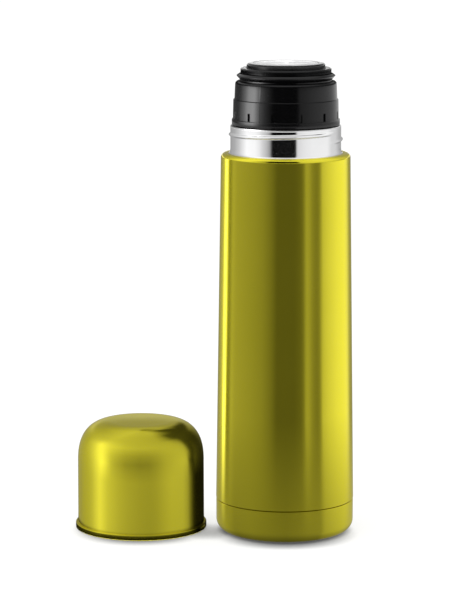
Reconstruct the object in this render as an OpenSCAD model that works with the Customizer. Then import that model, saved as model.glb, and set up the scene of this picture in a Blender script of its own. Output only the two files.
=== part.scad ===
// Half-litre vacuum flask with a screw stopper, a push button valve and a drinking cup.
// The flask stands on z = 0 with its axis on the Z axis.
// The cup stands beside it, rim down, as it does while the flask is in use.

/* [Flask body] */
// Outer diameter of the lacquered shell at the seam above its base
shell_base_d = 69.4; // [68.8:0.2:70.4]
// Outer diameter of the lacquered shell just under the shoulder
shell_top_d = 64.4; // [64:0.2:65.6]
// Height of the shoulder's top face above the table
shoulder_z = 191.2; // [186:0.2:197]
// Height of the seam between the base cup and the shell
seam_z = 16.5; // [15:0.5:19]
// Radius of the rounded lower edge of the base cup
base_round = 6; // [4:0.5:7]
// Sheet thickness of the outer steel parts
sheet = 0.8; // [0.6:0.1:0.9]
// Sheet thickness of the inner bottle
liner_sheet = 0.6; // [0.5:0.1:0.7]
// Width of the evacuated gap between the shell and the inner bottle
vacuum_gap = 2.8; // [2.4:0.1:3.4]

/* [Neck] */
// Outer diameter of the bare steel neck at its foot
neck_d = 55; // [54.8:0.1:55.2]
// Height of the neck above the shoulder
neck_h = 14; // [13.8:0.1:14.2]
// Rise of the outer neck thread in one turn
cup_pitch = 4.4; // [4.2:0.1:4.6]
// Rise of the stopper's thread in one turn
stopper_pitch = 4; // [3.8:0.1:4.2]

/* [Stopper] */
// Diameter of the flange that covers the neck's rim
flange_d = 53.6; // [53.4:0.1:54.2]
// Diameter of the lower grip tier
tier_d = 52.4; // [52:0.1:52.8]
// Number of notches round the foot of the grip
notches = 12; // [6:1:18]
// Diameter of the pouring lip's sharp edge
lip_d = 49; // [48.2:0.2:50]
// Diameter of the release ring
ring_d = 45; // [44.8:0.1:45.2]
// Diameter of the push button
button_d = 38.8; // [38.4:0.1:39]
// Diameter of the steel disc in the button
disc_d = 32; // [28:0.5:33]

/* [Cup] */
// Outer diameter of the cup's wall
cup_d = 63.8; // [63.6:0.1:64.6]
// Height of the cup
cup_h = 54.8; // [54:0.2:58]
// Outer diameter of the bead round the cup's rim
cup_rim_d = 66.3; // [65.6:0.1:66.8]
// Distance from the flask's axis to the cup's, along X
cup_x = -72.8; // [-110:0.2:-72]
// Distance that the cup stands behind the flask's axis, along Y
cup_y = 6; // [0:0.5:20]

/* [Hidden] */

$fn = 96;
// Smallest overlap that cuts clean through a face
cut = 0.5;

// Flask body
shell_base_r = shell_base_d / 2;
shell_top_r = shell_top_d / 2;
shoulder_round = 2.3;
shoulder_rise = 0.3;
shoulder_in_r = 28.4;
base_r = shell_base_r - 0.15;
spigot_r = base_r - sheet;
spigot_z = 8;
foot_r = 24;
foot_recess = 1.2;

// Neck and inner bottle
neck_r = neck_d / 2;
rim_z = shoulder_z + neck_h;
lip_sheet = 0.6;
mouth_r = 24.5;
seal_bore_r = 23.4;
seal_bore_top = rim_z - 15.7;
seal_bore_bottom = rim_z - 23.2;
liner_top = seal_bore_bottom - 10;
liner_gap = sheet + vacuum_gap;
liner_bottom_z = 10;
liner_bottom_round = 5;
liner_joint_z = 15.6;

// Threads
thread_h = 0.9;
thread_w = 0.9;
rolled_h = 0.85;
rolled_w = 1.7;
rolled_z = shoulder_z + 7.2;
rolled_start = -40;
rolled_turns = 1.04;
mouth_thread_z = rim_z - 9.4;
mouth_thread_turns = 1.2;
plug_thread_start = -41;
plug_thread_turns = 0.95;
cup_thread_start = 67;

// Stopper, as heights above the neck's rim
seat_z = rim_z + 0.4;
flange_h = 2.9;
flange_top = seat_z + flange_h;
tier_top = seat_z + 12.7;
upper_top = seat_z + 21.6;
upper_round = 1.5;
upper_r = tier_d / 2 - 0.7;
upper_top_r = tier_d / 2 - 1.1;
notch_w = 1.3;
notch_h = 3.8;
notch_depth = 1.3;
skirt_bore_r = 23.5;
roof_hole_r = 22.9;
roof_z = upper_top - 2.2;
plug_r = 23.3;
plug_low_r = 21.4;
plug_top = roof_z - 4;
plug_step_z = rim_z - 15.2;
plug_z = rim_z - 24.2;
plug_floor = 2.4;
plug_bore_r = 19.6;
plug_wide_r = 20.5;
ledge_z = seat_z + 0.4;
port_r = 13.5;

// Pouring lip, release ring and button
groove_r = 22.8;
lip_r = lip_d / 2;
lip_low_z = upper_top + 0.7;
lip_edge_z = upper_top + 2.7;
lip_top_z = upper_top + 3.7;
lip_seat_z = lip_top_z - 1.2;
recess_z = upper_top + 0.4;
recess_r = 21.9;
ring_r = ring_d / 2;
ring_z = lip_top_z + 0.3;
ring_top = ring_z + 2.4;
ring_bore_r = 19.8;
ring_skirt_r = 21.6;
ring_skirt_z = recess_z + 1.7;
button_r = button_d / 2;
button_top = ring_top + 2.4;
button_low = upper_top - 0.8;
button_roof = button_top - 2.7;
button_round = 0.8;
disc_t = 0.8;

// Valve
stem_r = 4;
stem_fit = 0.06;
stem_top = button_roof + 0.6;
boss_r = 5.4;
boss_low = button_roof - 3.8;
plate_z = plug_z - 6.1;
plate_t = 2.6;
plate_r = 17.6;
seal_ring_r = 18.2;
seal_ring_in = 14.8;
screw_r = 1.9;
screw_len = 13;
screw_head_r = 4;
screw_head_h = 2.2;
guide_t = 3;
guide_rim = 2.6;
hub_r = 8.6;
hub_low = 8;
spring_r = 7;
spring_wire = 0.6;
spring_turns = 7;
wave_r = 20.9;
wave_w = 0.9;
wave_t = 0.25;
wave_h = 1.5;

// Cup
cup_r = cup_d / 2;
cup_rim_r = cup_rim_d / 2;
cup_sheet = 0.7;
cup_bead_h = 2.9;
dome_z = cup_h - 20.9;
dome_flat = 14.2;
dome_power = 2.5;
cup_gap = 0.1;
cup_liner_t = 1.3;
cup_thread_r = 28.7;
cup_thread_top = 16;
cup_thread_z = rolled_z - shoulder_z - cup_pitch / 2;

// Points of an arc round (r, z), from angle a0 to a1, in n steps
function arc(r, z, radius, a0, a1, n = 8) =
    [for (i = [0 : n]) let(a = a0 + (a1 - a0) * i / n) [r + radius * cos(a), z + radius * sin(a)]];

// Radius of the tapered shell at a height
function shell_r(z) =
    shell_base_r + (shell_top_r - shell_base_r) * (z - seam_z) / (shoulder_z - seam_z);

// Quarter superellipse from the wall at (r, z0) up to a flat of radius flat at z1
function dome(r, z0, z1, flat, n = 26) =
    [for (i = [0 : n]) let(a = 90 * i / n)
        [flat + (r - flat) * pow(cos(a), 2 / dome_power), z0 + (z1 - z0) * pow(sin(a), 2 / dome_power)]];

// Cross-section of a helical ridge, as [radial step, height] pairs scaled by its fade
function ridge_section(h, w, fade, foot) =
    [for (p = [[0, -1], [0.6, -0.62], [1, -0.24], [1, 0.24], [0.6, 0.62], [0, 1]])
        [foot + (h * fade - foot) * p[0], w * p[1] * fade]];

module lathe(points) {
    rotate_extrude()
        polygon(points);
}

module ring(outer, inner, z0, z1) {
    difference() {
        translate([0, 0, z0])
            cylinder(r = outer, h = z1 - z0);
        translate([0, 0, z0 - cut])
            cylinder(r = inner, h = z1 - z0 + 2 * cut);
    }
}

// Tube through a list of sections that all hold the same number of points.
// A loop joins its last section to its first.
module sweep(sections, loop = false) {
    rows = len(sections);
    cols = len(sections[0]);
    polyhedron(
        points = [for (s = sections) for (p = s) p],
        faces = concat(
            loop ? [] : [[for (j = [cols - 1 : -1 : 0]) j], [for (j = [0 : cols - 1]) (rows - 1) * cols + j]],
            [for (i = [0 : rows - (loop ? 1 : 2)]) for (j = [0 : cols - 1])
                let(k = (j + 1) % cols, near = i * cols, far = (i + 1) % rows * cols)
                each [[near + j, far + k, far + j], [near + j, near + k, far + k]]]
        )
    );
}

// Right-handed thread ridge rooted in a wall of radius r, outside it or inside it.
module ridge(r, h, w, pitch, z, start, turns, inside = false) {
    per_turn = 40;
    steps = round(turns * per_turn);
    fade_steps = 4;
    foot = -0.4;
    sweep([
        for (i = [0 : steps])
            let(
                a = start + 360 * turns * i / steps,
                fade = min(1, (i + 1) / fade_steps, (steps - i + 1) / fade_steps),
                section = ridge_section(h, w, fade, foot),
                out = inside ? -1 : 1
            )
            [for (k = inside ? [5 : -1 : 0] : [0 : 5])
                [(r + out * section[k][0]) * cos(a), (r + out * section[k][0]) * sin(a),
                 z + pitch * a / 360 + section[k][1]]]
    ]);
}

// ---- Flask body

module outer_shell() {
    color("yellowgreen")
        lathe(concat(
            [[spigot_r, spigot_z], [spigot_r, seam_z], [shell_base_r, seam_z]],
            arc(shell_top_r - shoulder_round, shoulder_z - shoulder_round, shoulder_round, 0, 90),
            [[shoulder_in_r, shoulder_z + shoulder_rise],
             [shoulder_in_r, shoulder_z + shoulder_rise - sheet]],
            arc(shell_top_r - shoulder_round, shoulder_z - shoulder_round,
                shoulder_round - sheet, 90, 0),
            [[shell_r(seam_z + 2) - sheet, seam_z + 2], [spigot_r - sheet, seam_z], [spigot_r - sheet, spigot_z]]
        ));
}

module base_cup() {
    color("olivedrab")
        lathe(concat(
            [[base_r, seam_z]],
            arc(base_r - base_round, base_round, base_round, 0, -90, 12),
            [[foot_r, 0], [foot_r - foot_recess, foot_recess], [0, foot_recess],
             [0, foot_recess + sheet], [foot_r - foot_recess, foot_recess + sheet], [foot_r, sheet]],
            arc(base_r - base_round, base_round, base_round - sheet, -90, 0, 12),
            [[base_r - sheet, seam_z]]
        ));
}

module neck_sleeve() {
    fillet = 2.4;
    foot_z = shoulder_z + shoulder_rise;
    color("silver") {
        lathe(concat(
            [[shoulder_in_r, foot_z - sheet], [shoulder_in_r, foot_z]],
            [for (i = [1 : 6]) let(a = 90 * i / 6)
                [shoulder_in_r - (shoulder_in_r - neck_r) * sin(a), foot_z + fillet * (1 - cos(a))]],
            [[neck_r, rim_z - lip_sheet], [neck_r - sheet, rim_z - lip_sheet], [neck_r - sheet, foot_z - sheet]]
        ));
        ridge(neck_r, rolled_h, rolled_w, cup_pitch, rolled_z, rolled_start, rolled_turns);
    }
}

module inner_liner() {
    wall_r = shell_r(liner_top) - liner_gap;
    shoulder_turn = 4;
    lip_turn = 0.5;
    color("lightgray") {
        lathe(concat(
            [[shell_r(liner_joint_z) - liner_gap, liner_joint_z], [wall_r, liner_top]],
            arc(wall_r - shoulder_turn, liner_top + 1.5, shoulder_turn, 10, 55, 5),
            [[seal_bore_r + liner_sheet, seal_bore_bottom], [seal_bore_r + liner_sheet, seal_bore_top],
             [mouth_r + liner_sheet, seal_bore_top + 1], [mouth_r + liner_sheet, rim_z - lip_sheet],
             [neck_r, rim_z - lip_sheet]],
            arc(neck_r - lip_turn, rim_z - lip_turn, lip_turn, 0, 90, 4),
            arc(mouth_r + lip_turn, rim_z - lip_turn, lip_turn, 90, 180, 4),
            [[mouth_r, seal_bore_top + 1], [seal_bore_r, seal_bore_top], [seal_bore_r, seal_bore_bottom]],
            arc(wall_r - shoulder_turn, liner_top + 1.5, shoulder_turn - liner_sheet, 55, 10, 5),
            [[wall_r - liner_sheet, liner_top],
             [shell_r(liner_joint_z) - liner_gap - liner_sheet, liner_joint_z]]
        ));
        ridge(mouth_r, thread_h, thread_w, stopper_pitch, mouth_thread_z, 0, mouth_thread_turns, true);
    }
}

module liner_bottom() {
    r = shell_r(liner_joint_z) - liner_gap;
    color("gainsboro")
        lathe(concat(
            [[r, liner_joint_z]],
            arc(r - liner_bottom_round, liner_bottom_z + liner_bottom_round, liner_bottom_round, 0, -90),
            [[0, liner_bottom_z + 1.5], [0, liner_bottom_z + 1.5 + liner_sheet]],
            arc(r - liner_bottom_round, liner_bottom_z + liner_bottom_round,
                liner_bottom_round - liner_sheet, -90, 0),
            [[r - liner_sheet, liner_joint_z]]
        ));
}

module radiation_foil() {
    gap = 0.3;
    foil = 0.2;
    low = liner_joint_z + 6;
    high = liner_top - 4;
    color("peru")
        lathe([
            [shell_r(low) - liner_gap + gap, low], [shell_r(low) - liner_gap + gap + foil, low],
            [shell_r(high) - liner_gap + gap + foil, high], [shell_r(high) - liner_gap + gap, high]
        ]);
}

module vacuum_base() {
    r = spigot_r - sheet;
    plate = 5;
    dimple_r = 5;
    dimple = 1.2;
    color("darkgray")
        difference() {
            lathe([
                [r, spigot_z], [r, spigot_z + 2], [r - sheet, spigot_z + 2], [r - sheet, plate + sheet + 0.6],
                [r - 2, plate + sheet], [dimple_r, plate + sheet],
                [dimple_r - 1, plate + sheet - dimple], [0, plate + sheet - dimple],
                [0, plate - dimple], [dimple_r - 0.6, plate - dimple], [dimple_r + 0.4, plate],
                [r - 1.6, plate], [r, plate + 0.8]
            ]);
            translate([0, 0, plate - dimple - cut])
                cylinder(r = 0.8, h = 3, $fn = 32);
        }
}

module seal_bead() {
    color("black")
        translate([0, 0, 3.1])
            cylinder(r1 = 1.6, r2 = 2.6, h = 0.7, $fn = 48);
}

module getter_clip() {
    color("gray")
        translate([14, 0, 5.8])
            difference() {
                cylinder(r = 4, h = 1.8, $fn = 48);
                translate([0, 0, 0.4])
                    cylinder(r = 3.2, h = 3, $fn = 48);
            }
}

module getter() {
    color("dimgray")
        translate([14, 0, 6.2])
            cylinder(r = 3.2, h = 2.4, $fn = 48);
}

// ---- Stopper

module stopper_skirt() {
    color("black")
        difference() {
            lathe(concat(
                [[skirt_bore_r, seat_z], [flange_d / 2 - 0.3, seat_z], [flange_d / 2, seat_z + 0.3],
                 [flange_d / 2, flange_top - 0.4], [flange_d / 2 - 0.4, flange_top], [tier_d / 2, flange_top],
                 [tier_d / 2 - 0.15, tier_top - 0.35], [tier_d / 2 - 0.5, tier_top], [upper_r, tier_top]],
                arc(upper_top_r - upper_round, upper_top - upper_round, upper_round, 0, 90),
                [[roof_hole_r, upper_top], [roof_hole_r, roof_z], [skirt_bore_r, roof_z]]
            ));
            for (i = [0 : notches - 1])
                rotate([0, 0, 360 * (i + 0.5) / notches])
                    translate([tier_d / 2 - notch_depth, -notch_w / 2, flange_top])
                        cube([2 * notch_depth, notch_w, notch_h]);
        }
}

module stopper_plug() {
    thread_z = mouth_thread_z - stopper_pitch / 2;
    groove_edge = plug_low_r + 1.5;
    color("dimgray") {
        lathe([
            [port_r, plug_z], [groove_edge - 0.3, plug_z], [groove_edge, plug_z + 0.4],
            [groove_edge, plug_z + 2], [plug_low_r, plug_z + 2], [plug_low_r, plug_step_z],
            [plug_r, plug_step_z], [plug_r, plug_top], [plug_wide_r, plug_top], [plug_wide_r, ledge_z],
            [plug_bore_r, ledge_z], [plug_bore_r, plug_z + plug_floor], [port_r, plug_z + plug_floor]
        ]);
        ridge(plug_r, thread_h, thread_w, stopper_pitch, thread_z, plug_thread_start, plug_thread_turns);
    }
}

module neck_seal() {
    inner = plug_low_r + 0.3;
    outer = seal_bore_r - 0.3;
    low = plug_z + 2.3;
    high = plug_step_z - 0.3;
    ribs = 3;
    step = (high - low) / ribs;
    valley = 0.7;
    color("tomato")
        lathe(concat(
            [[inner, low]],
            [for (i = [0 : ribs - 1]) each [
                [outer - valley, low + step * i],
                [outer, low + step * (i + 0.35)],
                [outer, low + step * (i + 0.6)]
            ]],
            [[outer - valley, high], [inner, high]]
        ));
}

module pour_lip() {
    color("darkslategray")
        lathe([
            [plug_wide_r, plug_top], [plug_r, plug_top], [plug_r, roof_z], [groove_r, roof_z],
            [groove_r, lip_low_z], [groove_r + 0.3, lip_low_z + 0.3],
            [lip_r, lip_edge_z - 0.05], [lip_r, lip_edge_z + 0.05],
            [ring_r + 0.75, lip_top_z], [ring_r + 0.32, lip_top_z], [ring_r + 0.32, lip_seat_z],
            [recess_r, lip_seat_z], [recess_r, recess_z], [plug_wide_r - 0.8, recess_z],
            [plug_wide_r - 0.8, recess_z - 0.6], [plug_wide_r, recess_z - 1.4]
        ]);
}

module stem_guide() {
    spokes = 3;
    spoke_w = 4;
    rim_in = plug_wide_r - 0.1 - guide_rim;
    color("slategray")
        difference() {
            union() {
                ring(plug_wide_r - 0.1, rim_in, ledge_z, ledge_z + guide_t);
                translate([0, 0, ledge_z])
                    cylinder(r = hub_r, h = guide_t);
                translate([0, 0, ledge_z - hub_low])
                    cylinder(r = stem_r + 2, h = hub_low + cut);
                for (i = [0 : spokes - 1])
                    rotate([0, 0, 90 + 360 * i / spokes])
                        translate([0, -spoke_w / 2, ledge_z])
                            cube([rim_in + 1, spoke_w, guide_t]);
            }
            translate([0, 0, ledge_z - hub_low - cut])
                cylinder(r = stem_r + stem_fit, h = hub_low + guide_t + 2 * cut);
        }
}

// Waved washer that lifts the release ring
module ring_spring() {
    waves = 4;
    steps = 96;
    color("silver")
        sweep([
            for (i = [0 : steps - 1])
                let(
                    a = 360 * i / steps,
                    z = recess_z + (wave_h - wave_t) * (1 - cos(waves * a)) / 2
                )
                [for (p = [[-wave_w, 0], [0, 0], [0, wave_t], [-wave_w, wave_t]])
                    [(wave_r + p[0]) * cos(a), (wave_r + p[0]) * sin(a), z + p[1]]]
        ], loop = true);
}

// Coil spring between the stem guide and the button
module button_spring() {
    low = ledge_z + guide_t + spring_wire;
    high = button_roof - spring_wire;
    end_pitch = 2.2 * spring_wire;
    per_turn = 16;
    sides = 6;
    steps = spring_turns * per_turn;
    color("silver")
        sweep([
            for (i = [0 : steps])
                let(
                    turn = i / per_turn,
                    a = 360 * turn,
                    t = min(1, max(0, (turn - 1) / (spring_turns - 2))),
                    ends = min(turn, 1) + max(0, turn - spring_turns + 1),
                    z = low + end_pitch * ends + (high - low - 2 * end_pitch) * t
                )
                [for (k = [0 : sides - 1]) let(b = 360 * k / sides, r = spring_r + spring_wire * cos(b))
                    [r * cos(a), r * sin(a), z + spring_wire * sin(b)]]
        ]);
}

module release_ring() {
    edge = 0.7;
    color("black")
        lathe(concat(
            [[ring_bore_r, ring_skirt_z], [ring_skirt_r, ring_skirt_z], [ring_skirt_r, ring_z], [ring_r, ring_z]],
            arc(ring_r - edge, ring_top - edge, edge, 0, 90, 5),
            [[ring_bore_r + 0.3, ring_top], [ring_bore_r, ring_top - 0.3]]
        ));
}

module push_button() {
    wall = 1.6;
    color("black")
        difference() {
            lathe(concat(
                [[0, button_low], [button_r, button_low]],
                arc(button_r - button_round, button_top - button_round, button_round, 0, 90, 5),
                [[0, button_top]]
            ));
            translate([0, 0, button_top - disc_t])
                cylinder(r = disc_d / 2 + 0.1, h = disc_t + cut);
            difference() {
                translate([0, 0, button_low - cut])
                    cylinder(r = button_r - wall, h = button_roof - button_low + cut);
                translate([0, 0, boss_low])
                    cylinder(r = boss_r, h = button_roof);
            }
            translate([0, 0, button_low])
                cylinder(r = stem_r, h = stem_top - button_low);
        }
}

module button_disc() {
    color("silver")
        lathe([
            [0, button_top - disc_t], [disc_d / 2, button_top - disc_t], [disc_d / 2, button_top - 0.2],
            [disc_d / 2 - 0.3, button_top], [0, button_top + 0.1]
        ]);
}

module valve_stem() {
    color("white")
        difference() {
            translate([0, 0, plate_z + plate_t])
                cylinder(r = stem_r, h = stem_top - plate_z - plate_t);
            translate([0, 0, plate_z])
                cylinder(r = screw_r, h = screw_len + 1);
        }
}

module valve_plate() {
    color("white")
        difference() {
            lathe([
                [0, plate_z], [plate_r - 0.6, plate_z], [plate_r, plate_z + 0.6],
                [plate_r, plate_z + plate_t], [0, plate_z + plate_t]
            ]);
            translate([0, 0, plate_z - cut])
                cylinder(r = screw_r, h = plate_t + 2 * cut);
        }
}

module valve_seal() {
    low = plate_z + plate_t;
    color("tomato")
        lathe([
            [seal_ring_in, low], [seal_ring_r, low], [seal_ring_r, low + 1.6],
            [seal_ring_r - 1.2, low + 3.2], [seal_ring_in + 0.4, low + 3.2], [seal_ring_in, low + 2.4]
        ]);
}

module plate_screw() {
    slot = 0.9;
    color("silver")
        difference() {
            union() {
                translate([0, 0, plate_z - screw_head_h])
                    cylinder(r1 = screw_head_r - 0.8, r2 = screw_head_r, h = screw_head_h);
                translate([0, 0, plate_z - cut])
                    cylinder(r = screw_r, h = screw_len + cut);
            }
            for (a = [0, 90])
                rotate([0, 0, a])
                    translate([-2.2, -slot / 2, plate_z - screw_head_h - cut])
                        cube([4.4, slot, 1.4 + cut]);
        }
}

// ---- Cup

module cup_shell() {
    rim_edge = 0.5;
    bead_edge = 0.35;
    color("yellowgreen")
        translate([cup_x, cup_y, 0])
            lathe(concat(
                [[cup_rim_r - 2.1, 0], [cup_rim_r - 0.5, 0]],
                arc(cup_rim_r - rim_edge, rim_edge, rim_edge, -60, 0, 3),
                arc(cup_rim_r - bead_edge, cup_bead_h - bead_edge, bead_edge, 0, 90, 4),
                [[cup_r + 0.1, cup_bead_h], [cup_r, cup_bead_h + 0.3]],
                dome(cup_r, dome_z, cup_h, dome_flat),
                [[0, cup_h + 0.2], [0, cup_h + 0.2 - cup_sheet]],
                [for (p = [26 : -1 : 0])
                    dome(cup_r - cup_sheet, dome_z, cup_h - cup_sheet, dome_flat)[p]],
                [[cup_r - cup_sheet, 1.2], [cup_rim_r - 2.1, 1.2]]
            ));
}

module cup_liner() {
    outer = cup_r - cup_sheet - cup_gap;
    inner = outer - cup_liner_t;
    top = cup_h - cup_sheet - cup_gap;
    outer_dome = dome(outer, dome_z, top, dome_flat, 20);
    inner_dome = dome(inner, dome_z, top - cup_liner_t, dome_flat - 1, 20);
    color("dimgray")
        translate([cup_x, cup_y, 0]) {
            lathe(concat(
                [[cup_thread_r, 1.2], [outer, 1.2]],
                outer_dome,
                [[0, top + 0.1], [0, top - cup_liner_t]],
                [for (i = [20 : -1 : 0]) inner_dome[i]],
                [[inner, cup_thread_top + 1.2], [cup_thread_r, cup_thread_top]]
            ));
            ridge(cup_thread_r, thread_h, thread_w, cup_pitch, cup_thread_z, cup_thread_start, 1, true);
        }
}

outer_shell();
base_cup();
neck_sleeve();
inner_liner();
liner_bottom();
radiation_foil();
vacuum_base();
seal_bead();
getter_clip();
getter();
stopper_skirt();
stopper_plug();
pour_lip();
stem_guide();
ring_spring();
button_spring();
neck_seal();
release_ring();
push_button();
button_disc();
valve_stem();
valve_plate();
valve_seal();
plate_screw();
cup_shell();
cup_liner();
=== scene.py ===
"""A lime lacquered vacuum flask with its cup beside it, in a plain white studio."""
import math

import bmesh
import bpy
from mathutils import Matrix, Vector


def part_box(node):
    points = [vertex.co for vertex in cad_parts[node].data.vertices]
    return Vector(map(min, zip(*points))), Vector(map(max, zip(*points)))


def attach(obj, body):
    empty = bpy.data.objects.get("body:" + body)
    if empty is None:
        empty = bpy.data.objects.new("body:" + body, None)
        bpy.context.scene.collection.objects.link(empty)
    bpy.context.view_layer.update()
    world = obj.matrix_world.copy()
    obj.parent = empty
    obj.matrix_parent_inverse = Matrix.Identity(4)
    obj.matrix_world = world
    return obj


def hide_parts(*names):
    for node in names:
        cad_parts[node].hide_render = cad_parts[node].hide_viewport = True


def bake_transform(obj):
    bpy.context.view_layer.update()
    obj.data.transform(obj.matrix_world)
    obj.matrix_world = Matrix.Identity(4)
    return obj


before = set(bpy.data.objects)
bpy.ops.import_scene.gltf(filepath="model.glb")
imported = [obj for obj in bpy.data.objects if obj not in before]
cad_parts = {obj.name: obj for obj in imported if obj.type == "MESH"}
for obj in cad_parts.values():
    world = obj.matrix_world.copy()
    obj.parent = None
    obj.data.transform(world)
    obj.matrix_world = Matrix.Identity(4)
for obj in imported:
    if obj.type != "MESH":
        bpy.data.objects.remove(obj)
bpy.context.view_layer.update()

MM = 0.001
TURN = 2 * math.pi

# ---------------------------------------------------------------- places from the frame


def low(node):
    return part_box(node)[0]


def high(node):
    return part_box(node)[1]


def radius(node):
    lowest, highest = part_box(node)
    return (highest[0] - lowest[0]) / 2


CUP_AXIS = (
    (low("cup_shell")[0] + high("cup_shell")[0]) / 2,
    (low("cup_shell")[1] + high("cup_shell")[1]) / 2,
)
SEAM_Z = high("base_cup")[2]
SHOULDER_Z = high("outer_shell")[2]
SEAT_Z = low("stopper_skirt")[2]
SKIRT_TOP = high("stopper_skirt")[2]
LIP_TOP = high("pour_lip")[2]
RING_TOP = high("release_ring")[2]
BUTTON_TOP = high("push_button")[2]
CUP_TOP = high("cup_shell")[2]
ABOVE_FLOOR = low("base_cup")[2] + 0.0002

# ---------------------------------------------------------------- outlines and meshes


def rounded(corners, steps=5):
    """Closed outline from (r, z) or (r, z, rounding) corners, all in millimetres, returned in metres."""
    points = []
    count = len(corners)
    for i, corner in enumerate(corners):
        here = Vector(corner[:2])
        size = corner[2] if len(corner) > 2 else 0
        if not size:
            points.append(here)
            continue
        before = (Vector(corners[i - 1][:2]) - here).normalized()
        after = (Vector(corners[(i + 1) % count][:2]) - here).normalized()
        half = before.angle(after) / 2
        reach = size / math.tan(half)
        centre = here + (before + after).normalized() * size / math.sin(half)
        start = here + before * reach - centre
        end = here + after * reach - centre
        sweep = start.angle_signed(end)
        for k in range(steps + 1):
            turn = -sweep * k / steps
            points.append(
                centre
                + Vector(
                    (
                        start.x * math.cos(turn) - start.y * math.sin(turn),
                        start.x * math.sin(turn) + start.y * math.cos(turn),
                    )
                )
            )
    return [(p.x * MM, p.y * MM) for p in points]


def finish_mesh(name, mesh, body, material, node, sharp=28):
    """The mesh as a shown piece. Edges sharper than the given degrees stay crisp."""
    mesh.polygons.foreach_set("use_smooth", [True] * len(mesh.polygons))
    mesh.set_sharp_from_angle(angle=math.radians(sharp))
    piece = bpy.data.objects.new(name, mesh)
    bpy.context.scene.collection.objects.link(piece)
    mesh.materials.append(material)
    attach(piece, body)
    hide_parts(node)


def turned_mesh(name, outline, angles, centre=(0, 0), shape=None):
    """Surface of revolution of a closed outline. shape(angle, r, z) may move a point to a new (r, z)."""
    bm = bmesh.new()
    rings = []
    for angle in angles:
        ring = []
        for r, z in outline:
            if shape and r > 0:
                r, z = shape(angle, r, z)
            ring.append(bm.verts.new((centre[0] + r * math.cos(angle), centre[1] + r * math.sin(angle), z)))
        rings.append(ring)
    count = len(outline)
    for i, ring in enumerate(rings):
        after = rings[(i + 1) % len(rings)]
        for j in range(count):
            k = (j + 1) % count
            bm.faces.new((ring[j], after[j], after[k], ring[k]))
    bmesh.ops.remove_doubles(bm, verts=bm.verts, dist=1e-7)
    bmesh.ops.dissolve_degenerate(bm, edges=bm.edges, dist=1e-8)
    bmesh.ops.recalc_face_normals(bm, faces=bm.faces)
    mesh = bpy.data.meshes.new(name)
    bm.to_mesh(mesh)
    bm.free()
    return mesh


def even_angles(count):
    return [TURN * i / count for i in range(count)]


def smooth_step(x):
    x = min(1, max(0, x))
    return x * x * (3 - 2 * x)


# ---------------------------------------------------------------- materials


def new_material(name):
    material = bpy.data.materials.new(name)
    material.use_nodes = True
    nodes = material.node_tree.nodes
    links = material.node_tree.links
    return material, nodes, links, nodes["Principled BSDF"]


def object_coords(nodes, links, scale):
    """Object coordinates stretched by scale, for a pattern that runs round the axis."""
    coords = nodes.new("ShaderNodeTexCoord")
    mapping = nodes.new("ShaderNodeMapping")
    mapping.inputs["Scale"].default_value = scale
    links.new(coords.outputs["Object"], mapping.inputs["Vector"])
    return mapping.outputs["Vector"]


def noise(nodes, links, vector, scale, detail=3, rough=0.5):
    node = nodes.new("ShaderNodeTexNoise")
    node.inputs["Scale"].default_value = scale
    node.inputs["Detail"].default_value = detail
    node.inputs["Roughness"].default_value = rough
    links.new(vector, node.inputs["Vector"])
    return node.outputs["Fac"]


def spread(nodes, links, value, low_value, high_value, start=0.3, end=0.7):
    node = nodes.new("ShaderNodeMapRange")
    node.inputs["From Min"].default_value = start
    node.inputs["From Max"].default_value = end
    node.inputs["To Min"].default_value = low_value
    node.inputs["To Max"].default_value = high_value
    links.new(value, node.inputs["Value"])
    return node.outputs["Result"]


def two_tone(nodes, links, value, dark, light):
    ramp = nodes.new("ShaderNodeValToRGB")
    ramp.color_ramp.elements[0].position = 0.3
    ramp.color_ramp.elements[0].color = (*dark, 1)
    ramp.color_ramp.elements[1].position = 0.7
    ramp.color_ramp.elements[1].color = (*light, 1)
    links.new(value, ramp.inputs["Fac"])
    return ramp.outputs["Color"]


def bump(nodes, links, shader, height, strength, distance):
    node = nodes.new("ShaderNodeBump")
    node.inputs["Strength"].default_value = strength
    node.inputs["Distance"].default_value = distance
    links.new(height, node.inputs["Height"])
    links.new(node.outputs["Normal"], shader.inputs["Normal"])


def turned_tangent(nodes, links, shader):
    tangent = nodes.new("ShaderNodeTangent")
    tangent.direction_type = "RADIAL"
    tangent.axis = "Z"
    links.new(tangent.outputs["Tangent"], shader.inputs["Tangent"])


def lacquer():
    """Tinted clear lacquer over finely turned steel."""
    material, nodes, links, shader = new_material("lime_lacquer")
    rings = noise(nodes, links, object_coords(nodes, links, (1, 1, 60)), 90, 4, 0.6)
    cloud = noise(nodes, links, object_coords(nodes, links, (1, 1, 1)), 25, 2)
    links.new(
        two_tone(nodes, links, cloud, (0.795, 0.715, 0.022), (0.83, 0.745, 0.028)),
        shader.inputs["Base Color"],
    )
    links.new(spread(nodes, links, rings, 0.17, 0.23), shader.inputs["Roughness"])
    shader.inputs["Metallic"].default_value = 1
    shader.inputs["Anisotropic"].default_value = 0.35
    shader.inputs["Specular Tint"].default_value = (0.9, 0.84, 0.12, 1)
    shader.inputs["Coat Weight"].default_value = 0.55
    shader.inputs["Coat Roughness"].default_value = 0.05
    turned_tangent(nodes, links, shader)
    bump(nodes, links, shader, rings, 0.05, 0.00005)
    return material


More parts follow.
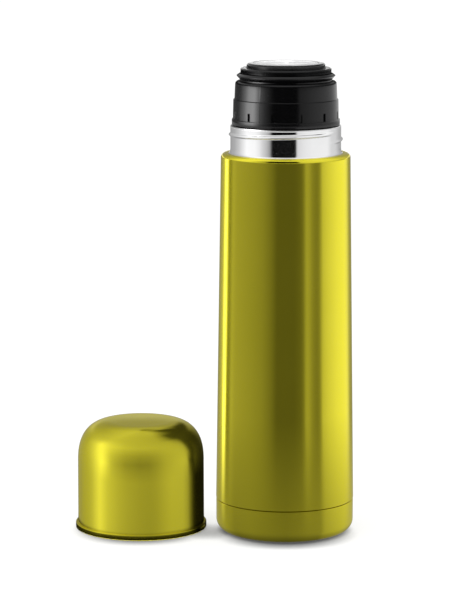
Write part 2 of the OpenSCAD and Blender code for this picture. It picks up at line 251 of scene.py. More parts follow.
def steel(name, tone, rough, ring_scale=120, ring_bump=0.08, anisotropy=0.4):
    """Bare stainless steel with the fine rings that turning and polishing leave."""
    material, nodes, links, shader = new_material(name)
    rings = noise(nodes, links, object_coords(nodes, links, (1, 1, 40)), ring_scale, 4, 0.65)
    smudge = noise(nodes, links, object_coords(nodes, links, (1, 1, 1)), 60, 3)
    dark = tuple(c * 0.95 for c in tone)
    links.new(two_tone(nodes, links, smudge, dark, tone), shader.inputs["Base Color"])
    links.new(spread(nodes, links, rings, rough * 0.8, rough * 1.25), shader.inputs["Roughness"])
    shader.inputs["Metallic"].default_value = 1
    shader.inputs["Anisotropic"].default_value = anisotropy
    turned_tangent(nodes, links, shader)
    bump(nodes, links, shader, rings, ring_bump, 0.00005)
    return material


def plastic(name, tone, rough, grain=900, grain_bump=0.12):
    """Moulded plastic with a fine grain and faint flow marks."""
    material, nodes, links, shader = new_material(name)
    fine = noise(nodes, links, object_coords(nodes, links, (1, 1, 1)), grain, 3)
    flow = noise(nodes, links, object_coords(nodes, links, (1, 1, 0.35)), 70, 3)
    light = tuple(c * 1.35 for c in tone)
    links.new(two_tone(nodes, links, flow, tone, light), shader.inputs["Base Color"])
    links.new(spread(nodes, links, flow, rough * 0.85, rough * 1.2), shader.inputs["Roughness"])
    shader.inputs["Specular IOR Level"].default_value = 0.5
    bump(nodes, links, shader, fine, grain_bump, 0.00003)
    return material


def silicone():
    material, nodes, links, shader = new_material("grey_silicone")
    cloud = noise(nodes, links, object_coords(nodes, links, (1, 1, 1)), 150, 3)
    links.new(
        two_tone(nodes, links, cloud, (0.50, 0.50, 0.48), (0.60, 0.60, 0.57)),
        shader.inputs["Base Color"],
    )
    links.new(spread(nodes, links, cloud, 0.42, 0.55), shader.inputs["Roughness"])
    shader.inputs["Subsurface Weight"].default_value = 0.2
    shader.inputs["Subsurface Scale"].default_value = 0.002
    bump(nodes, links, shader, cloud, 0.1, 0.00005)
    return material


def floor_material():
    """White paper sweep that glows evenly, with a painted contact shadow: darker where something stands
    close behind.
    """
    material, nodes, links, shader = new_material("studio_floor")
    lean = math.radians(68)
    shadow_reach = 0.018
    darkest = 0.05
    glow_level = 0.72
    shadow_tone = (0.01, 0.01, 0.012, 1)
    backwards = nodes.new("ShaderNodeCombineXYZ")
    backwards.inputs[1].default_value = math.sin(lean)
    backwards.inputs[2].default_value = math.cos(lean)
    painted_shadow_occlusion = nodes.new("ShaderNodeAmbientOcclusion")
    painted_shadow_occlusion.samples = 24
    painted_shadow_occlusion.inputs["Distance"].default_value = shadow_reach
    links.new(backwards.outputs[0], painted_shadow_occlusion.inputs["Normal"])
    # The occlusion, leaning back, paints a contact shadow into both the floor's colour and its glow.
    shade = spread(nodes, links, painted_shadow_occlusion.outputs["AO"], darkest, 1, 0.3, 0.72)
    cloud = noise(nodes, links, object_coords(nodes, links, (1, 1, 1)), 6, 2)
    paper = nodes.new("ShaderNodeMix")
    paper.data_type = "RGBA"
    paper.inputs[6].default_value = shadow_tone
    links.new(shade, paper.inputs[0])
    links.new(
        two_tone(nodes, links, cloud, (0.29, 0.29, 0.29), (0.30, 0.30, 0.30)),
        paper.inputs[7],
    )
    links.new(paper.outputs[2], shader.inputs["Base Color"])
    shader.inputs["Roughness"].default_value = 0.9
    shader.inputs["Specular IOR Level"].default_value = 0.0
    shader.inputs["Emission Color"].default_value = (1, 1, 1, 1)
    glow = nodes.new("ShaderNodeMath")
    glow.operation = "MULTIPLY"
    glow.inputs[1].default_value = glow_level
    links.new(shade, glow.inputs[0])
    links.new(glow.outputs[0], shader.inputs["Emission Strength"])
    material.cycles.emission_sampling = "NONE"
    return material


def reflector_material(name):
    """Emission in the mesh's painted brightness on its front, and nothing from behind."""
    material = bpy.data.materials.new(name)
    material.use_nodes = True
    nodes = material.node_tree.nodes
    links = material.node_tree.links
    nodes.clear()
    colour = nodes.new("ShaderNodeAttribute")
    colour.attribute_name = "glow"
    lamp = nodes.new("ShaderNodeEmission")
    clear = nodes.new("ShaderNodeBsdfTransparent")
    side = nodes.new("ShaderNodeNewGeometry")
    either = nodes.new("ShaderNodeMixShader")
    output = nodes.new("ShaderNodeOutputMaterial")
    links.new(colour.outputs["Color"], lamp.inputs["Color"])
    links.new(side.outputs["Backfacing"], either.inputs[0])
    links.new(lamp.outputs[0], either.inputs[1])
    links.new(clear.outputs[0], either.inputs[2])
    links.new(either.outputs[0], output.inputs[0])
    material.cycles.emission_sampling = "NONE"
    return material


LACQUER = lacquer()
NECK_STEEL = steel("polished_steel", (0.93, 0.93, 0.935), 0.09, 140, 0.05, 0.3)
DISC_STEEL = steel("satin_disc_steel", (0.88, 0.88, 0.885), 0.26, 260, 0.12, 0.45)
INNER_STEEL = steel("inner_steel", (0.78, 0.78, 0.78), 0.2)
SPRING_STEEL = steel("drawn_steel", (0.62, 0.62, 0.64), 0.28)
FOIL = steel("copper_foil", (0.86, 0.52, 0.36), 0.22, 60, 0.3)
GETTER_METAL = steel("sintered_getter", (0.33, 0.33, 0.35), 0.6, 400, 0.5)
GLOSS_BLACK = plastic("gloss_black", (0.0016, 0.0016, 0.0018), 0.2)
SATIN_BLACK = plastic("satin_black", (0.018, 0.018, 0.019), 0.42, 1200, 0.25)
SOLDER_GLASS = plastic("solder_glass", (0.03, 0.03, 0.035), 0.1)
SILICONE = silicone()

# ---------------------------------------------------------------- flask body


def make_shell():
    base = radius("outer_shell") / MM
    top = SHOULDER_Z / MM
    seam = SEAM_Z / MM
    neck_edge = 28.4
    wall = 0.8
    shoulder = 32.2
    outline = rounded(
        [
            (base - 2, seam + 0.12),
            (base - 0.02, seam + 0.12, 0.55),
            (shoulder, top - 0.3, 2.3),
            (neck_edge + 0.3, top + 0.02, 0.3),
            (neck_edge, top - 0.4, 0.15),
            (neck_edge, top - wall),
            (shoulder - wall, top - wall - 0.3, 1.5),
            (base - wall, seam + 2),
            (base - 2, seam + 1),
        ],
        steps=10,
    )
    mesh = turned_mesh("outer_shell_skin", outline, even_angles(256))
    finish_mesh("outer_shell_skin", mesh, "flask", LACQUER, "outer_shell")


def make_base_cup():
    edge = radius("base_cup") / MM
    seam = SEAM_Z / MM
    foot = 24
    recess = 1.2
    wall = 0.8
    outline = rounded(
        [
            (edge, seam - 0.12, 0.6),
            (edge, 0, 6),
            (foot, 0, 0.8),
            (foot - recess, recess, 0.8),
            (0, recess),
            (0, recess + wall),
            (foot - recess + 0.4, recess + wall, 0.6),
            (foot + 0.4, wall, 0.6),
            (edge - wall, wall, 5.2),
            (edge - wall, seam - 0.1),
        ],
        steps=10,
    )
    mesh = turned_mesh("base_cup_skin", outline, even_angles(256))
    finish_mesh("base_cup_skin", mesh, "flask", LACQUER, "base_cup")


def make_neck():
    """Neck sleeve with a concave foot and one rolled turn of thread that fades out at both ends."""
    foot_z = SHOULDER_Z / MM
    top = high("neck_sleeve")[2] / MM
    foot_r = 28.4
    wall_r = 27.5
    wall = 0.7
    fillet = 2.4
    pitch = 4.4
    thread_z = foot_z - 0.3 + 7.2
    thread_h = 0.85
    thread_half = 1.25
    start, turns, fade = -40, 1.04, 26
    outline = [(foot_r, foot_z - 0.9), (foot_r, foot_z - 0.05)]
    outline += [
        (foot_r - (foot_r - wall_r) * math.sin(a), foot_z + fillet * (1 - math.cos(a)))
        for a in (math.pi / 2 * i / 8 for i in range(1, 9))
    ]
    rise = top - foot_z - fillet
    outline += [(wall_r, foot_z + fillet + rise * i / 60) for i in range(1, 60)]
    outline += [(wall_r - 0.1, top), (wall_r - wall, top), (wall_r - wall, foot_z - 0.9)]

    def thread(angle, r, z):
        if r < (wall_r - 0.2) * MM:
            return r, z
        push = 0
        for lap in (-1, 0, 1):
            degrees = math.degrees(angle) + 360 * lap
            along = min(degrees - start, start + 360 * turns - degrees)
            if along <= 0:
                continue
            off = (z / MM - thread_z - pitch * degrees / 360) / thread_half
            if abs(off) < 1:
                push = max(push, thread_h * smooth_step(along / fade) * math.cos(off * math.pi / 2) ** 2)
        return r + push * MM, z

    mesh = turned_mesh(
        "neck_sleeve_skin", [(r * MM, z * MM) for r, z in outline], even_angles(240), shape=thread
    )
    finish_mesh("neck_sleeve_skin", mesh, "flask", NECK_STEEL, "neck_sleeve", 40)


# ---------------------------------------------------------------- stopper


def make_skirt():
    """Two-tier grip. Its notches and its mould line sit between close pairs of mesh columns."""
    seat = SEAT_Z / MM
    top = SKIRT_TOP / MM
    flange_r = radius("stopper_skirt") / MM
    flange_top = seat + 2.9
    tier_top = seat + 12.7
    tier_r = 26.2
    notches, notch_half, notch_h, notch_depth = 12, 0.6, 3.8, 0.9
    corners = [
        (23.5, seat),
        (flange_r, seat, 0.35),
        (flange_r, flange_top, 0.5),
        (tier_r + 0.05, flange_top, 0.12),
        (tier_r + 0.03, flange_top + 0.3),
        (tier_r, flange_top + notch_h),
        (tier_r - 0.02, flange_top + notch_h + 0.25),
        (tier_r - 0.15, tier_top, 0.5),
        (25.5, tier_top, 0.15),
        (25.1, top, 1.5),
        (22.9, top, 0.1),
        (22.9, top - 2.2),
        (23.5, top - 2.2),
    ]
    outline = rounded(corners, steps=6)
    edge = 0.22 / tier_r
    half = notch_half / tier_r
    angles = []
    for i in range(notches):
        middle = TURN * (i + 0.5) / notches
        reach = TURN / notches / 2
        angles += [middle - reach + (reach - half - edge) * k / 8 for k in range(8)]
        angles += [middle - half - edge, middle - half, middle, middle + half, middle + half + edge]
        angles += [middle + half + edge + (reach - half - edge) * k / 8 for k in range(1, 8)]

    mould_line = math.radians(-120.5)
    line_half = 0.09
    line_height = 0.09
    line_angles = {(mould_line + k * line_half / tier_r) % TURN for k in (-1, 0, 1)}
    angles = sorted({a % TURN for a in angles} | line_angles)

    def notch(angle, r, z):
        turn = (angle - mould_line + math.pi) % TURN - math.pi
        on_line = abs(turn) < line_half / 3 / tier_r
        if on_line and r > 24 * MM and flange_top < z / MM < top - 1.2:
            return r + line_height * MM, z
        offset = abs((angle / TURN * notches) % 1 - 0.5) * TURN / notches
        inside = offset < half + edge / 2
        at_height = flange_top + 0.2 < z / MM < flange_top + notch_h + 0.1
        if inside and at_height and r > (tier_r - 0.5) * MM:
            return r - notch_depth * MM, z
        return r, z

    mesh = turned_mesh("stopper_skirt_skin", outline, angles, shape=notch)
    finish_mesh("stopper_skirt_skin", mesh, "stopper", GLOSS_BLACK, "stopper_skirt")


def make_pour_lip():
    top = LIP_TOP / MM
    bottom = low("pour_lip")[2] / MM
    roof = SKIRT_TOP / MM - 2.2
    edge = radius("pour_lip") / MM
    outline = rounded(
        [
            (20.5, bottom),
            (23.3, bottom),
            (23.3, roof),
            (22.8, roof),
            (22.8, top - 3.0, 0.25),
            (edge, top - 1.0, 0.12),
            (23.2, top, 0.2),
            (22.82, top, 0.1),
            (22.82, top - 1.2),
            (21.9, top - 1.2),
            (21.9, top - 3.3),
            (19.7, top - 3.3),
            (19.7, top - 3.9),
            (20.5, top - 4.7),
        ],
        steps=5,
    )
    mesh = turned_mesh("pour_lip_skin", outline, even_angles(192))
    finish_mesh("pour_lip_skin", mesh, "stopper", GLOSS_BLACK, "pour_lip")


def make_release_ring():
    top = RING_TOP / MM
    bottom = low("release_ring")[2] / MM
    edge = radius("release_ring") / MM
    outline = rounded(
        [
            (19.8, bottom),
            (21.6, bottom),
            (21.6, top - 2.4),
            (edge, top - 2.4, 0.25),
            (edge, top, 0.75),
            (19.8, top, 0.35),
        ],
        steps=7,
    )
    mesh = turned_mesh("release_ring_skin", outline, even_angles(192))
    finish_mesh("release_ring_skin", mesh, "release_ring", GLOSS_BLACK, "release_ring")


def make_button():
    top = BUTTON_TOP / MM
    bottom = low("push_button")[2] / MM
    edge = radius("push_button") / MM
    disc = radius("button_disc") / MM
    roof = top - 2.7
    outline = rounded(
        [
            (0, top - 0.8),
            (disc + 0.12, top - 0.8),
            (disc + 0.12, top, 0.3),
            (edge, top, 0.85),
            (edge, bottom, 0.2),
            (edge - 1.6, bottom, 0.2),
            (edge - 1.6, roof, 0.4),
            (5.4, roof, 0.3),
            (5.4, roof - 3.8, 0.2),
            (4.0, roof - 3.8),
            (4.0, roof + 0.6),
            (0, roof + 0.6),
        ],
        steps=7,
    )
    mesh = turned_mesh("push_button_skin", outline, even_angles(192))
    finish_mesh("push_button_skin", mesh, "button", GLOSS_BLACK, "push_button")


def make_disc():
    top = high("button_disc")[2] / MM
    edge = radius("button_disc") / MM
    outline = rounded(
        [
            (0, top - 0.9),
            (edge, top - 0.9),
            (edge, top - 0.1, 0.25),
            (edge * 0.6, top - 0.03),
            (edge * 0.3, top - 0.01),
            (0, top),
        ],
        steps=6,
    )
    mesh = turned_mesh("button_disc_skin", outline, even_angles(160))
    finish_mesh("button_disc_skin", mesh, "button", DISC_STEEL, "button_disc")


def coil_mesh(name, centre_line, wire, sides=10):
    """Tube of round wire along a list of points, with closed ends."""
    bm = bmesh.new()
    rings = []
    for i, point in enumerate(centre_line):
        here = Vector(point)
        ahead = Vector(centre_line[min(i + 1, len(centre_line) - 1)])
        behind = Vector(centre_line[max(i - 1, 0)])
        along = (ahead - behind).normalized()
        out = Vector((here.x, here.y, 0)).normalized()
        up = along.cross(out).normalized()
        out = up.cross(along)
        rings.append(
            [bm.verts.new(here + (out * math.cos(a) + up * math.sin(a)) * wire) for a in even_angles(sides)]
        )
    for ring, after in zip(rings, rings[1:]):
        for k in range(sides):
            n = (k + 1) % sides
            bm.faces.new((ring[k], ring[n], after[n], after[k]))
    bm.faces.new(rings[0])
    bm.faces.new(rings[-1])
    bmesh.ops.recalc_face_normals(bm, faces=bm.faces)
    mesh = bpy.data.meshes.new(name)
    bm.to_mesh(mesh)
    bm.free()
    return mesh


def make_button_spring():
    bottom = low("button_spring")[2]
    top = high("button_spring")[2]
    wire = 0.6 * MM
    coil_r = 7 * MM
    turns = 7
    end_pitch = 2.2 * wire
    per_turn = 40
    points = []
    for i in range(turns * per_turn + 1):
        turn = i / per_turn
        ends = min(turn, 1) + max(0, turn - turns + 1)
        middle = min(1, max(0, (turn - 1) / (turns - 2)))
        z = bottom + wire + end_pitch * ends + (top - bottom - 2 * wire - 2 * end_pitch) * middle
        points.append((coil_r * math.cos(TURN * turn), coil_r * math.sin(TURN * turn), z))
    mesh = coil_mesh("button_coil", points, wire)
    piece = bpy.data.objects.new("button_coil", mesh)
    bpy.context.scene.collection.objects.link(piece)
    mesh.polygons.foreach_set("use_smooth", [True] * len(mesh.polygons))
    mesh.materials.append(SPRING_STEEL)
    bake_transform(piece)
    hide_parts("button_spring")


def make_ring_spring():
    """Waved washer, built in its resting shape."""
    bottom = low("ring_spring")[2]
    top = high("ring_spring")[2]
    edge = radius("ring_spring")
    width, thick, waves = 0.9 * MM, 0.25 * MM, 4
    outline = [(edge - width, 0), (edge, 0), (edge, thick), (edge - width, thick)]

    def wave(angle, r, z):
        return r, bottom + z + (top - bottom - thick) * (1 - math.cos(waves * angle)) / 2

    mesh = turned_mesh("wave_spring", outline, even_angles(192), shape=wave)
    piece = bpy.data.objects.new("wave_spring", mesh)
    bpy.context.scene.collection.objects.link(piece)
    mesh.materials.append(SPRING_STEEL)
    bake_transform(piece)
    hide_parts("ring_spring")


# ---------------------------------------------------------------- cup


def dome(edge, wall_top, top, flat, steps=48, power=2.5):
    """Quarter superellipse from the wall up to the flat, as (r, z) corners."""
    return [
        (
            flat + (edge - flat) * math.cos(a) ** (2 / power),
            wall_top + (top - wall_top) * math.sin(a) ** (2 / power),
        )
        for a in (math.pi / 2 * i / steps for i in range(steps + 1))
    ]


def make_cup_shell():
    edge = 31.9
    rim = radius("cup_shell") / MM
    top = CUP_TOP / MM - 0.2
    wall = 0.7
    wall_top = top - 20.9
    flat = 14.2
    bead = 2.9
    outline = rounded(
        [
            (rim - 2.1, 0),
            (rim, 0, 0.5),
            (rim, bead, 0.5),
            (edge + 0.08, bead, 0.12),
            (edge, 6),
        ],
        steps=6,
    )[:-1]
    outline += [(r * MM, z * MM) for r, z in dome(edge, wall_top, top, flat)[:-1]]
    crown = [(flat * (1 - i / 12), top + 0.2 * (1 - (1 - i / 12) ** 2)) for i in range(12)]
    outline += [(r * MM, z * MM) for r, z in crown + [(0, top + 0.2), (0, top + 0.2 - wall)]]
    outline += [(r * MM, z * MM) for r, z in reversed(dome(edge - wall, wall_top, top - wall, flat, 24))]
    outline += [((edge - wall) * MM, 1.2 * MM), ((rim - 2.1) * MM, 1.2 * MM)]
    mesh = turned_mesh("cup_shell_skin", outline, even_angles(224), centre=CUP_AXIS)
    finish_mesh("cup_shell_skin", mesh, "cup", LACQUER, "cup_shell")


make_shell()
make_base_cup()
make_neck()
make_skirt()
make_pour_lip()
make_release_ring()
make_button()
make_disc()
make_button_spring()
make_ring_spring()
make_cup_shell()

CARRIED_OVER = {
    "inner_liner": INNER_STEEL,
    "liner_bottom": INNER_STEEL,
    "radiation_foil": FOIL,
    "vacuum_base": INNER_STEEL,
    "seal_bead": SOLDER_GLASS,
    "getter_clip": SPRING_STEEL,
    "getter": GETTER_METAL,
    "stopper_plug": SATIN_BLACK,
    "stem_guide": SATIN_BLACK,
    "neck_seal": SILICONE,
    "valve_stem": SATIN_BLACK,
    "valve_plate": SATIN_BLACK,
    "valve_seal": SILICONE,
    "plate_screw": SPRING_STEEL,
    "cup_liner": SATIN_BLACK,
}
for node_name, material in CARRIED_OVER.items():
    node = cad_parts[node_name]
    node.data.materials.clear()
    node.data.materials.append(material)

# ---------------------------------------------------------------- studio


def make_floor():
    reach = 12
    bm = bmesh.new()
    bm.faces.new(
        [bm.verts.new((reach * math.cos(a), reach * math.sin(a), 0)) for a in even_angles(96)]
    )
    mesh = bpy.data.meshes.new("studio_floor")
    bm.to_mesh(mesh)
    bm.free()
    mesh.materials.append(floor_material())
    plate = bpy.data.objects.new("studio_floor", mesh)
    bpy.context.scene.collection.objects.link(plate)
    plate.location.z = low("base_cup")[2]
    plate.visible_glossy = False


# Painted brightness round each reflector, which the skins show as painted reflections and highlights, as
# (degrees from the front, level), positive to the right
BODY_SCREEN = [
    (-180, 0.30), (-162, 0.32), (-145, 0.48), (-136, 0.7), (-131, 2.7), (-126, 2.2), (-121, 0.2),
    (-114, 0.24), (-107, 0.5), (-97, 0.4), (-60, 0.32), (-42, 0.27), (-28, 0.19), (-16, 0.10),
    (14, 0.10), (25, 0.13), (30, 0.2), (34, 0.42), (39, 0.40), (45, 0.27), (54, 0.19), (61, 0.27),
    (65, 0.62), (78, 0.79), (100, 1.0), (128, 1.15), (136, 0.9), (144, 0.36), (180, 0.32),
]
FOOT_SCREEN = [
    (-180, 0.5), (-150, 0.4), (-130, 0.42), (-95, 0.25), (-60, 0.25), (-30, 0.22), (0, 0.19),
    (20, 0.21), (40, 0.25), (62, 0.27), (70, 0.4), (90, 0.5), (120, 0.62), (145, 0.55), (180, 0.45),
]
NECK_SCREEN = [
    (-180, 0.36), (-160, 0.36), (-134, 0.44), (-116, 0.60), (-102, 0.84), (-90, 1.06), (-68, 1.04),
    (-58, 0.9), (-50, 0.7), (-42, 0.55), (-35, 0.35), (-30, 0.003), (18.6, 0.003), (22, 0.74),
    (36, 0.84), (54, 0.9), (95, 0.92), (108, 0.72), (124, 0.68), (145, 0.45), (180, 0.4),
]
NECK_TOP_SCREEN = [
    (-180, 0.4), (-134, 0.5), (-116, 0.66), (-102, 0.88), (-90, 1.06), (-58, 1.0), (-30, 0.85),
    (0, 0.75), (30, 0.85), (95, 0.92), (124, 0.7), (145, 0.45), (180, 0.4),
]
GRIP_SCREEN = [
    (-180, 0.4), (-168, 0.16), (-150, 0.12), (-126, 0.24), (-116, 0.8), (-104, 2.0), (-94, 4.6),
    (-82, 5.6), (-76, 6.2), (-70, 4.0), (-60, 1.3), (-48, 0.5), (-36, 0.12), (-28, 0.0), (24, 0.0),
    (29, 0.3), (44, 0.4), (60, 0.54), (85, 0.68), (117, 0.75), (144, 0.9), (165, 0.9), (180, 0.4),
]
CUP_SCREEN = [
    (-180, 0.2), (-162, 0.4), (-140, 0.42), (-125, 0.48), (-108, 0.54), (-98, 0.62), (-88, 0.82),
    (-78, 1.02), (-70, 0.88), (-60, 0.7), (-38, 0.54), (-22, 0.46), (0, 0.40), (18, 0.38),
    (30, 0.40), (44, 0.48), (60, 0.56), (85, 0.56), (97, 0.42), (105, 0.16), (113, 0.03),
    (122, 0.01), (162, 0.01), (180, 0.2),
]
# The same round the cup's dome, from its wall up to its crown
DOME_LOW = [
    (-180, 0.2), (-165, 0.4), (-125, 0.5), (-108, 0.58), (-96, 0.75), (-84, 1.05), (-74, 1.35),
    (-66, 1.1), (-54, 0.64), (-44, 0.5), (-26, 0.34), (0, 0.26), (18, 0.27), (34, 0.36), (48, 0.47),
    (66, 0.56), (85, 0.62), (96, 0.58), (102, 0.1), (110, 0.02), (120, 0.08), (132, 0.04),
    (160, 0.02), (180, 0.2),
]
DOME_HIGH = [
    (-180, 0.42), (-125, 0.5), (-104, 0.75), (-92, 1.0), (-82, 1.3), (-74, 1.2), (-62, 0.95),
    (-46, 0.8), (-26, 0.66), (0, 0.58), (30, 0.56), (56, 0.56), (74, 0.54), (88, 0.46), (98, 0.05),
    (140, 0.03), (165, 0.2), (180, 0.4),
]
CROWN_LOW = [
    (-180, 0.6), (-150, 0.72), (-120, 0.5), (-60, 0.8), (-26, 0.62), (0, 0.56), (56, 0.5),
    (74, 0.3), (86, 0.06), (130, 0.04), (150, 0.3), (166, 0.4), (180, 0.6),
]
CROWN_HIGH = [
    (-180, 0.36), (-150, 0.42), (-120, 0.5), (-60, 0.7), (-26, 0.6), (0, 0.56), (40, 0.5),
    (60, 0.3), (75, 0.06), (168, 0.04), (176, 0.2), (180, 0.36),
]
CROWN_TOP = [
    (-180, 0.5), (-150, 0.6), (-60, 0.7), (0, 0.6), (60, 0.6), (100, 0.4), (130, 0.05), (166, 0.05),
    (176, 0.3), (180, 0.5),
]
# Surroundings above the screens
SKY = [
    (-180, 0.5), (-130, 0.5), (-105, 0.56), (-86, 0.64), (-70, 0.62), (-50, 0.58), (-24, 0.55),
    (0, 0.52), (30, 0.54), (60, 0.56), (85, 0.4), (100, 0.2), (140, 0.16), (165, 0.4), (180, 0.5),
]


def level_at(stops, degrees):
    for (start, low_level), (end, high_level) in zip(stops, stops[1:]):
        if degrees <= end:
            return low_level + (high_level - low_level) * (degrees - start) / (end - start)
    return stops[-1][1]


def mirrored(degrees, skin, reach):
    """Direction in which a round skin throws the ray from the front that lands here on a screen."""
    low_angle, high_angle = -90, 90
    share = min(1, skin / reach)
    for _ in range(30):
        middle = (low_angle + high_angle) / 2
        angle = math.radians(middle)
        lands = 2 * middle - math.degrees(math.asin(math.sin(angle) * share))
        low_angle, high_angle = (middle, high_angle) if lands < degrees else (low_angle, middle)
    return 2 * middle


def screen(name, axis, rows, body="flask"):
    """Hidden round reflector that only glossy rays see, from inside. It travels with its body. Its glow is
    painted brightness, laid out for a viewer at the front, which the skin it faces shows as painted
    reflections and highlights.

    Each row is (radius, height, radius of the skin it faces, levels, gain).
    """
    bm = bmesh.new()
    glow = bm.verts.layers.float_color.new("glow")
    columns = 240
    grid = []
    for reach, height, skin, level, gain in rows:
        line = []
        for i in range(columns):
            degrees = -180 + 360 * i / columns
            angle = math.radians(degrees - 90)
            x = axis[0] + reach * math.cos(angle)
            y = axis[1] + reach * math.sin(angle)
            vert = bm.verts.new((x, y, height))
            value = level_at(level, mirrored(degrees, skin, reach)) * gain
            vert[glow] = (value, value, value, 1)
            line.append(vert)
        grid.append(line)
    for line, above in zip(grid, grid[1:]):
        for i in range(columns):
            k = (i + 1) % columns
            bm.faces.new((line[k], line[i], above[i], above[k]))
    mesh = bpy.data.meshes.new(name)
    bm.to_mesh(mesh)
    bm.free()
    mesh.materials.append(reflector_material(name))
    wrap = bpy.data.objects.new(name, mesh)
    bpy.context.scene.collection.objects.link(wrap)
    wrap.visible_camera = False
    wrap.visible_diffuse = False
    wrap.visible_shadow = False
    wrap.visible_transmission = False
    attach(wrap, body)


def average_levels(first, second, share):
    return [
        (degrees, level_at(first, degrees) * (1 - share) + level_at(second, degrees) * share)
        for degrees in range(-180, 181, 4)
    ]


def make_screens():
    shell_r = radius("outer_shell")
    top_r = shell_r - 0.0025
    neck_r = 0.0275
    grip_r = 0.026
    reach = shell_r + 0.0028
    shelf = SHOULDER_Z + 0.0004
    foot_to_body = (
        average_levels(FOOT_SCREEN, BODY_SCREEN, 0.15),
        average_levels(FOOT_SCREEN, BODY_SCREEN, 0.5),
    )
    screen(
        "body_screen",
        (0, 0),
        [
            # The rows lying on the floor stand in for the floor in reflection and grow dimmer towards the
            # axis: painted shade reflected in the base's lower rounding.
            (0.02, ABOVE_FLOOR, shell_r, FOOT_SCREEN, 0.1),
            (shell_r - 0.003, ABOVE_FLOOR, shell_r, FOOT_SCREEN, 0.5),
            (reach, ABOVE_FLOOR, shell_r, FOOT_SCREEN, 0.9),
            (reach, 0.004, shell_r, FOOT_SCREEN, 1),
            (reach, SEAM_Z, shell_r, foot_to_body[0], 1),
            (reach, SEAM_Z + 0.02, shell_r - 0.0003, foot_to_body[1], 1),
            (reach, SEAM_Z + 0.045, shell_r - 0.0007, BODY_SCREEN, 1),
            (reach, SHOULDER_Z - 0.0005, top_r, BODY_SCREEN, 1),
        ],
    )
    screen(
        "neck_screen",
        (0, 0),
        [
            # On the shoulder the rows are dimmer next to the neck: painted shade reflected in the neck's
            # concave foot.
            (neck_r + 0.0009, shelf, neck_r, NECK_TOP_SCREEN, 0.5),
            (shell_r - 0.001, shelf, neck_r, NECK_TOP_SCREEN, 0.85),
            (reach - 0.0003, shelf, neck_r, NECK_TOP_SCREEN, 0.85),
            (reach, SHOULDER_Z + 0.0006, neck_r, NECK_SCREEN, 1),
            (reach, SEAT_Z - 0.0012, neck_r, NECK_SCREEN, 1),
            (reach, SEAT_Z - 0.0011, neck_r, NECK_TOP_SCREEN, 1.1),
            (reach, SEAT_Z - 0.0004, neck_r, NECK_TOP_SCREEN, 1.1),
            (reach, SEAT_Z - 0.0003, grip_r, GRIP_SCREEN, 0.6),
            (reach, SEAT_Z + 0.003, grip_r, GRIP_SCREEN, 1),
            (reach, SKIRT_TOP - 0.001, grip_r, GRIP_SCREEN, 1),
            # Dim from the skirt's top to the ring's top: painted shade reflected in the parts between the
            # grip and the button.
            (reach, SKIRT_TOP + 0.001, grip_r, GRIP_SCREEN, 0.1),
            (reach, RING_TOP, grip_r, GRIP_SCREEN, 0.1),
            (reach, RING_TOP + 0.001, grip_r, GRIP_SCREEN, 0.35),
            (reach, BUTTON_TOP - 0.0004, grip_r, GRIP_SCREEN, 0.45),
        ],
    )
    screen(
        "neck_lid_screen",
        (0, 0),
        [
            (reach, SEAT_Z - 0.0004, neck_r, NECK_TOP_SCREEN, 1.1),
            (neck_r + 0.0012, SEAT_Z - 0.0002, neck_r, NECK_TOP_SCREEN, 1.1),
        ],
    )
    cup_r = 0.032
    wall_top = CUP_TOP - 0.0211
    cup_reach = radius("cup_shell") + 0.0042
    wall_to_dome = average_levels(DOME_LOW, DOME_HIGH, 0.3)
    screen(
        "cup_screen",
        CUP_AXIS,
        [
            # The rows on and just above the floor are nearly black: painted shade reflected as a dark line
            # along the cup's rim.
            (0.03, ABOVE_FLOOR, cup_r, CUP_SCREEN, 0.02),
            (cup_reach - 0.0005, ABOVE_FLOOR, cup_r, CUP_SCREEN, 0.05),
            (cup_reach, 0.0012, cup_r, CUP_SCREEN, 0.1),
            (cup_reach, 0.0032, cup_r, CUP_SCREEN, 0.95),
            (cup_reach, wall_top - 0.006, cup_r, CUP_SCREEN, 1),
            (cup_reach, wall_top + 0.004, cup_r, DOME_LOW, 1),
            (cup_reach, wall_top + 0.010, 0.03, wall_to_dome, 1),
            (cup_reach, wall_top + 0.018, 0.028, DOME_HIGH, 1),
            (cup_reach, wall_top + 0.026, 0.020, CROWN_LOW, 1),
            (cup_reach * 0.94, wall_top + 0.030, 0.020, CROWN_HIGH, 1),
            (cup_reach * 0.8, wall_top + 0.038, 0.020, CROWN_HIGH, 1),
            (cup_reach * 0.45, wall_top + 0.046, 0.015, CROWN_TOP, 1),
            (cup_reach * 0.02, wall_top + 0.050, 0, CROWN_TOP, 1),
        ],
        "cup",
    )


def horizon_ramp(nodes, links, azimuth, stops):
    ramp = nodes.new("ShaderNodeValToRGB")
    elements = ramp.color_ramp.elements
    while len(elements) > 1:
        elements.remove(elements[-1])
    for i, (degrees, level) in enumerate(stops):
        place = (degrees + 180) / 360
        element = elements[0] if i == 0 else elements.new(place)
        element.position = place
        element.color = (level, level, level, 1)
    links.new(azimuth, ramp.inputs["Fac"])
    return ramp.outputs["Color"]


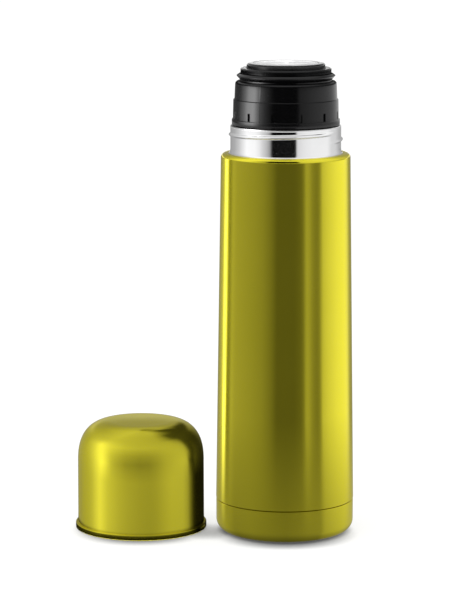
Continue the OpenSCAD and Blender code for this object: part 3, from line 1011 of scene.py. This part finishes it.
def make_world():
    """Studio surroundings: soft bright and dark banks, a plain ceiling and a white backdrop."""
    world = bpy.data.worlds.new("studio")
    bpy.context.scene.world = world
    world.use_nodes = True
    nodes = world.node_tree.nodes
    links = world.node_tree.links
    nodes.clear()

    def math_node(kind, *values):
        node = nodes.new("ShaderNodeMath")
        node.operation = kind
        for socket, value in zip(node.inputs, values):
            if isinstance(value, (int, float)):
                socket.default_value = value
            else:
                links.new(value, socket)
        return node.outputs[0]

    def blend(factor, first, second):
        node = nodes.new("ShaderNodeMix")
        node.data_type = "RGBA"
        links.new(factor, node.inputs[0])
        for socket, value in ((node.inputs[6], first), (node.inputs[7], second)):
            if isinstance(value, (int, float)):
                socket.default_value = (value, value, value, 1)
            else:
                links.new(value, socket)
        return node.outputs[2]

    direction = nodes.new("ShaderNodeTexCoord").outputs["Generated"]
    split = nodes.new("ShaderNodeSeparateXYZ")
    links.new(direction, split.inputs[0])
    azimuth = math_node("ARCTAN2", split.outputs[0], math_node("MULTIPLY", split.outputs[1], -1))
    azimuth = math_node("MULTIPLY_ADD", azimuth, 1 / TURN, 0.5)

    def rise(start, end):
        node = nodes.new("ShaderNodeMapRange")
        node.interpolation_type = "SMOOTHSTEP"
        node.inputs["From Min"].default_value = math.sin(math.radians(start))
        node.inputs["From Max"].default_value = math.sin(math.radians(end))
        links.new(split.outputs[2], node.inputs["Value"])
        return node.outputs["Result"]

    low_window, ceiling, fill, backdrop = 2.0, 0.6, 1.12, 1.0
    sky = blend(rise(6.5, 9), low_window, horizon_ramp(nodes, links, azimuth, SKY))
    sky = blend(rise(38, 66), sky, ceiling)
    path = nodes.new("ShaderNodeLightPath")
    seen = blend(path.outputs["Is Diffuse Ray"], sky, fill)
    seen = blend(path.outputs["Is Camera Ray"], seen, backdrop)
    background = nodes.new("ShaderNodeBackground")
    links.new(seen, background.inputs["Color"])
    output = nodes.new("ShaderNodeOutputWorld")
    links.new(background.outputs[0], output.inputs[0])


def make_key_light():
    light = bpy.data.lights.new("ceiling_softbox", "AREA")
    light.shape = "RECTANGLE"
    light.size = 0.9
    light.size_y = 0.7
    light.energy = 3.5
    lamp = bpy.data.objects.new("ceiling_softbox", light)
    bpy.context.scene.collection.objects.link(lamp)
    lamp.location = (-0.15, -0.2, 1.2)
    aim = Vector((0, 0, 0.1)) - lamp.location
    lamp.rotation_euler = aim.to_track_quat("-Z", "Y").to_euler()
    lamp.visible_camera = False
    lamp.visible_glossy = False


def make_camera():
    """Long lens, a little above the flask's top, tilted down at its middle."""
    camera = bpy.data.cameras.new("camera")
    camera.lens = 176.4
    camera.sensor_width = 36
    camera.clip_end = 50
    shot = bpy.data.objects.new("camera", camera)
    bpy.context.scene.collection.objects.link(shot)
    shot.location = (-0.0294, -1.4527, 0.3542)
    shot.rotation_euler = (math.radians(90 - 9.265), 0, 0)
    bpy.context.scene.camera = shot


make_floor()
make_screens()
make_world()
make_key_light()
make_camera()
bpy.context.scene.view_settings.view_transform = "Standard"
bpy.context.scene.cycles.use_denoising = True
